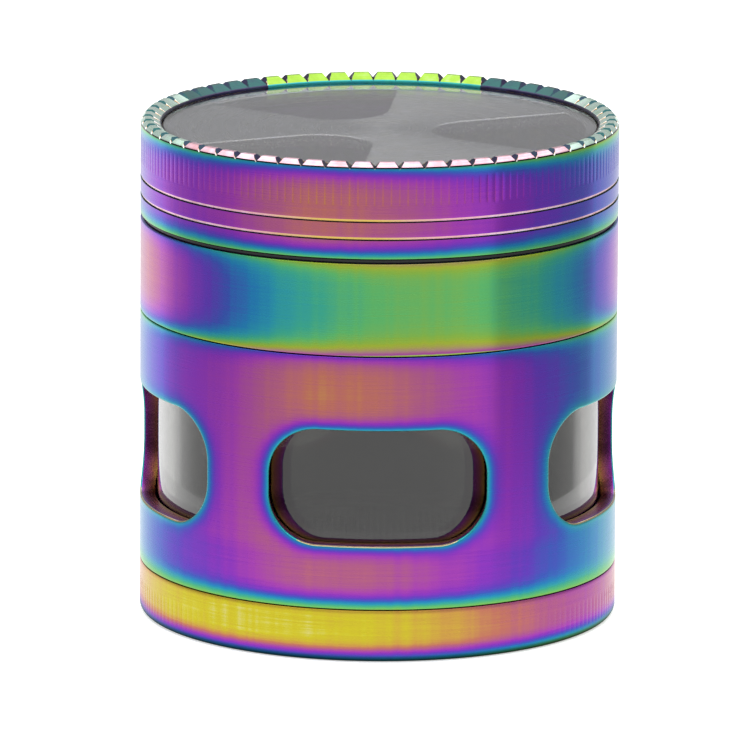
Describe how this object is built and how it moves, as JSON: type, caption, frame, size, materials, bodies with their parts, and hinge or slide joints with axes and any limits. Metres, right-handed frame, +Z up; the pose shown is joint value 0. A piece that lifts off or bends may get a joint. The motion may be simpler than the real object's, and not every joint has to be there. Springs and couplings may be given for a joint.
{
  "type": "windowed herb grinder",
  "caption": "Round hand grinder for herbs: a twist lid with diamond teeth and a clear disc over a grinding chamber, a windowed storage body, a sieve and a screw-on tray.",
  "frame": {"origin": "centre of the tray's flat underside, the point on the grinder's axis that stands on the table", "axes": "+Z up along the grinder's axis; -Y through the middle of one window; +X to the right of someone facing that window"},
  "size_m": [0.063, 0.063, 0.0662],
  "materials": {
    "tray_coating": "satin",
    "body_coating": "satin",
    "chamber_coating": "satin",
    "lid_coating": "satin",
    "stainless_steel": "satin",
    "magnet_nickel": "gloss",
    "smoked_clear_plastic": "gloss",
    "clear_plastic": "gloss",
    "black_plastic": "satin",
    "soft_rubber": "matte"
  },
  "bodies": {
    "tray": {"tray": "tray_coating"},
    "scraper": {"scraper": "black_plastic"},
    "liner": {"window_liner": "clear_plastic", "lower_liner_seal": "soft_rubber"},
    "body": {"window_body": "body_coating", "sieve_screen": "stainless_steel", "sieve_snap_ring": "stainless_steel"},
    "chamber_seal": {"upper_liner_seal": "soft_rubber"},
    "chamber": {"grinding_chamber": "chamber_coating", "chamber_magnet": "magnet_nickel"},
    "friction_ring": {"friction_ring": "black_plastic"},
    "lid": {"lid": "lid_coating", "lid_window": "smoked_clear_plastic", "lid_magnet": "magnet_nickel"}
  },
  "joints": [
    {"name": "scraper_turn", "type": "hinge", "parent": "tray", "child": "scraper", "pos_m": [0.006, -0.005, 0.0023], "axis": [0, 0, 1], "range_deg": [-90, 90]},
    {"name": "liner_rise", "type": "slide", "parent": "tray", "child": "liner", "axis": [0, 0, 1], "range_m": [0, 0.00225]},
    {"name": "body_turn", "type": "hinge", "parent": "liner", "child": "body", "pos_m": [0, 0, 0.0055], "axis": [0, 0, 1], "range_deg": [0, 540]},
    {"name": "chamber_rise", "type": "slide", "parent": "body", "child": "chamber_seal", "axis": [0, 0, 1], "range_m": [0, 0.00375]},
    {"name": "chamber_turn", "type": "hinge", "parent": "chamber_seal", "child": "chamber", "pos_m": [0, 0, 0.038], "axis": [0, 0, 1], "range_deg": [0, 900]},
    {"name": "lid_lift", "type": "slide", "parent": "chamber", "child": "friction_ring", "axis": [0, 0, 1], "range_m": [0, 0.035]},
    {"name": "lid_spin", "type": "hinge", "parent": "friction_ring", "child": "lid", "pos_m": [0, 0, 0.057], "axis": [0, 0, 1], "continuous": true}
  ],
  "couplings": [
    {"joint": "liner_rise", "follows": "body_turn", "m_per_rad": 0.00023873},
    {"joint": "chamber_rise", "follows": "chamber_turn", "m_per_rad": 0.00023873}
  ]
}
